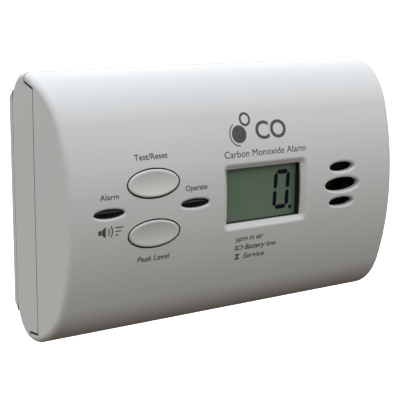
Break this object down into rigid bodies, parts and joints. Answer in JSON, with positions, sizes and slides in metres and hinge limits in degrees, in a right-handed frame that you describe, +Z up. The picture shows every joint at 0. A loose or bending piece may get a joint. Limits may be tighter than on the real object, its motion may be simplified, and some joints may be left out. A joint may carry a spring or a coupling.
{
  "type": "carbon monoxide alarm",
  "caption": "Battery carbon monoxide alarm for a wall: bowed front with digital display, oval push buttons, lamp windows and sounder slots, rear battery door and hanging keyholes.",
  "frame": {"origin": "centre of the flat back, midway between the entry holes of the two hanging keyholes, in the plane that touches the wall", "axes": "+X to the right seen from the room, +Y into the wall (the front faces -Y), +Z up"},
  "size_m": [0.146, 0.0448, 0.0952],
  "materials": {
    "case_white": "satin moulded ABS",
    "button_white": "satin moulded ABS",
    "smoked_plastic": "glossy smoked lens",
    "led_red": "tinted clear resin",
    "led_green": "tinted clear resin",
    "black_plastic": "matt moulded",
    "lcd_film": "reflective polariser",
    "lcd_glass": "polished",
    "elastomer": "matt",
    "foam": "closed-cell foam",
    "brass_plate": "rolled",
    "ceramic": "silvered ceramic",
    "board": "solder mask over glass-epoxy",
    "steel": "plated",
    "chip": "moulded epoxy",
    "capacitor_sleeve": "printed sleeve, left blank",
    "ferrite": "sintered",
    "connector_white": "moulded nylon",
    "resistor": "glazed",
    "ceramic_tan": "fired ceramic",
    "cell_jacket": "film jacket on steel can",
    "insulation_red": "PVC",
    "insulation_black": "PVC",
    "label": "blank film label"
  },
  "bodies": {
    "case": {"front_cover": "case_white", "rear_housing": "case_white", "test_switch_body": "black_plastic", "peak_switch_body": "black_plastic", "alarm_lens": "smoked_plastic", "operate_lens": "smoked_plastic", "alarm_led": "led_red", "operate_led": "led_green", "alarm_led_spacer": "black_plastic", "operate_led_spacer": "black_plastic", "lcd_holder": "black_plastic", "lcd_film": "lcd_film", "lcd_glass": "lcd_glass", "lcd_strip_upper": "elastomer", "lcd_strip_lower": "elastomer", "horn_housing": "black_plastic", "horn_cap": "black_plastic", "horn_gasket": "foam", "piezo_disc": "brass_plate", "piezo_ceramic": "ceramic", "main_board": "board", "co_sensor_base": "black_plastic", "co_sensor_can": "steel", "co_sensor_filter": "black_plastic", "co_sensor_pins": "steel", "microcontroller": "chip", "microcontroller_leads": "steel", "crystal": "steel", "capacitor_large": "capacitor_sleeve", "capacitor_small": "capacitor_sleeve", "horn_inductor": "ferrite", "driver_transistor": "chip", "battery_connector": "connector_white", "resistors": "resistor", "ceramic_capacitors": "ceramic_tan", "aa_cell_upper": "cell_jacket", "aa_cell_middle": "cell_jacket", "aa_cell_lower": "cell_jacket", "contact_positive": "steel", "contact_negative": "steel", "contact_bridge_left": "steel", "contact_bridge_right": "steel", "lead_red": "insulation_red", "lead_black": "insulation_black", "case_screws": "steel", "board_screws": "steel", "rating_plate": "label"},
    "door": {"battery_door": "case_white"},
    "test_button": {"test_button": "button_white"},
    "peak_button": {"peak_button": "button_white"},
    "test_plunger": {"test_switch_plunger": "black_plastic"},
    "peak_plunger": {"peak_switch_plunger": "black_plastic"}
  },
  "joints": [
    {"name": "door_hinge", "type": "hinge", "parent": "case", "child": "door", "pos_m": [0, -0.0019, -0.026], "axis": [-1, 0, 0], "range_deg": [0, 100]},
    {"name": "test_press", "type": "slide", "parent": "case", "child": "test_button", "axis": [0, 1, 0], "range_m": [0, 0.0005], "stiffness_N_per_m": 4000},
    {"name": "peak_press", "type": "slide", "parent": "case", "child": "peak_button", "axis": [0, 1, 0], "range_m": [0, 0.0005], "stiffness_N_per_m": 4000},
    {"name": "test_plunger_slide", "type": "slide", "parent": "case", "child": "test_plunger", "axis": [0, 1, 0], "range_m": [0, 0.0005]},
    {"name": "peak_plunger_slide", "type": "slide", "parent": "case", "child": "peak_plunger", "axis": [0, 1, 0], "range_m": [0, 0.0005]}
  ],
  "couplings": [
    {"joint": "test_plunger_slide", "follows": "test_press", "ratio": 1},
    {"joint": "peak_plunger_slide", "follows": "peak_press", "ratio": 1}
  ]
}
